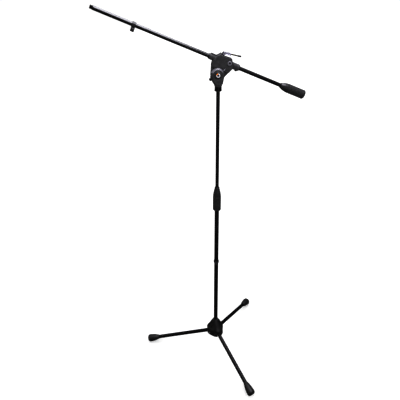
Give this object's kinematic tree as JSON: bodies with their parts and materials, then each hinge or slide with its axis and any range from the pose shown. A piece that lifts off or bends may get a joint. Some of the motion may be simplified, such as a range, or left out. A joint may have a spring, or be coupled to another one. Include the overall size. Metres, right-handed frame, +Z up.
{
  "type": "boom microphone stand",
  "caption": "Folding tripod floor stand with a sliding mast, a tilting boom clamp, a counterweighted boom, a twist clutch, a cam lever and cable clips.",
  "frame": {"origin": "middle of the whole stand's box, on the floor", "axes": "+Z up along the pole, +X towards the counterweight, with the boom's microphone end towards -X, +Y to the rear of the boom head"},
  "size_m": [0.7618, 0.6066, 1.6191],
  "materials": {
    "black_tube": "gloss black powder coat",
    "black_casting": "matt textured black paint on die casting",
    "hub_casting": "satin black paint on casting",
    "hard_plastic": "satin black moulded plastic",
    "soft_grip": "matt black rubber",
    "bright_steel": "bright plated",
    "dull_steel": "zinc plated",
    "brass": "plain brass",
    "pale_plastic": "pale nylon",
    "orange_accent": "orange moulded plastic"
  },
  "bodies": {
    "base": {"hub_dome": "hub_casting", "tube_plug": "hard_plastic", "hub_bolt": "dull_steel", "hub_washer": "dull_steel", "hinge_pin_1": "dull_steel", "hinge_pin_2": "dull_steel", "hinge_pin_3": "dull_steel", "lower_tube": "black_tube", "clutch_seat": "hard_plastic", "clutch_collet": "brass"},
    "leg_1": {"leg_knuckle_1": "hub_casting", "leg_tube_1": "black_tube", "leg_foot_1": "soft_grip"},
    "leg_2": {"leg_knuckle_2": "hub_casting", "leg_tube_2": "black_tube", "leg_foot_2": "soft_grip"},
    "leg_3": {"leg_knuckle_3": "hub_casting", "leg_tube_3": "black_tube", "leg_foot_3": "soft_grip"},
    "lower_clip": {"lower_cable_clip": "hard_plastic"},
    "clutch": {"clutch_grip": "soft_grip", "clutch_nose": "hard_plastic"},
    "guide": {"mast_guide": "pale_plastic"},
    "mast": {"upper_tube": "black_tube", "neck_yoke": "black_casting", "front_friction_washer": "pale_plastic", "rear_friction_washer": "pale_plastic", "pivot_cap": "hard_plastic", "pivot_bolt": "dull_steel", "pivot_ring": "pale_plastic", "index_mark": "orange_accent"},
    "handle": {"tilt_handle": "hard_plastic"},
    "head": {"clamp_body": "black_casting", "clamp_shoe": "hard_plastic", "clamp_screw": "dull_steel", "tilt_pointer": "bright_steel", "cam_pin": "dull_steel"},
    "lever": {"cam_lever": "bright_steel", "lever_rod": "dull_steel", "lever_tip": "soft_grip"},
    "bushes": {"mic_side_bush": "hard_plastic", "weight_side_bush": "hard_plastic"},
    "boom": {"boom_tube": "black_tube", "mic_stud": "dull_steel", "weight_core": "dull_steel", "weight_nose": "hard_plastic", "weight_grip": "soft_grip", "weight_cap": "hard_plastic"},
    "boom_clip": {"boom_cable_clip": "hard_plastic"}
  },
  "joints": [
    {"name": "leg_1_fold", "type": "hinge", "parent": "base", "child": "leg_1", "pos_m": [0.01307, 0.04396, 0.09422], "axis": [-0.2267, -0.974, 0], "range_deg": [0, 75]},
    {"name": "leg_2_fold", "type": "hinge", "parent": "base", "child": "leg_2", "pos_m": [0.06288, 0.0591, 0.09422], "axis": [-0.7302, 0.6833, 0], "range_deg": [0, 75]},
    {"name": "leg_3_fold", "type": "hinge", "parent": "base", "child": "leg_3", "pos_m": [0.05108, 0.00839, 0.09422], "axis": [0.9568, 0.2907, 0], "range_deg": [0, 75]},
    {"name": "clutch_twist", "type": "hinge", "parent": "base", "child": "clutch", "pos_m": [0.04234, 0.03715, 0.85], "axis": [0, 0, 1], "range_deg": [0, 180]},
    {"name": "lower_clip_slide", "type": "slide", "parent": "base", "child": "lower_clip", "axis": [0, 0, 1], "range_m": [-0.25, 0.2]},
    {"name": "mast_slide", "type": "slide", "parent": "base", "child": "guide", "axis": [0, 0, 1], "range_m": [-0.35, 0.25]},
    {"name": "mast_swivel", "type": "hinge", "parent": "guide", "child": "mast", "pos_m": [0.04234, 0.03715, 1], "axis": [0, 0, 1], "continuous": true},
    {"name": "head_tilt", "type": "hinge", "parent": "mast", "child": "head", "pos_m": [0.03834, 0.03715, 1.3815], "axis": [0, 1, 0], "range_deg": [-95, 50]},
    {"name": "tilt_handle_turn", "type": "hinge", "parent": "mast", "child": "handle", "pos_m": [0.03834, 0.03715, 1.3815], "axis": [0, 1, 0], "range_deg": [-90, 90]},
    {"name": "cam_lever_lift", "type": "hinge", "parent": "head", "child": "lever", "pos_m": [0.06171, 0.03715, 1.45311], "axis": [0, 1, 0], "range_deg": [-85, 0]},
    {"name": "boom_roll", "type": "hinge", "parent": "head", "child": "bushes", "pos_m": [0.05761, 0.03715, 1.42601], "axis": [-0.9178, 0, 0.3971], "continuous": true},
    {"name": "boom_slide", "type": "slide", "parent": "bushes", "child": "boom", "axis": [-0.9178, 0, 0.3971], "range_m": [-0.2, 0.17]},
    {"name": "boom_clip_slide", "type": "slide", "parent": "boom", "child": "boom_clip", "axis": [-0.9178, 0, 0.3971], "range_m": [-0.06, 0.12]}
  ]
}
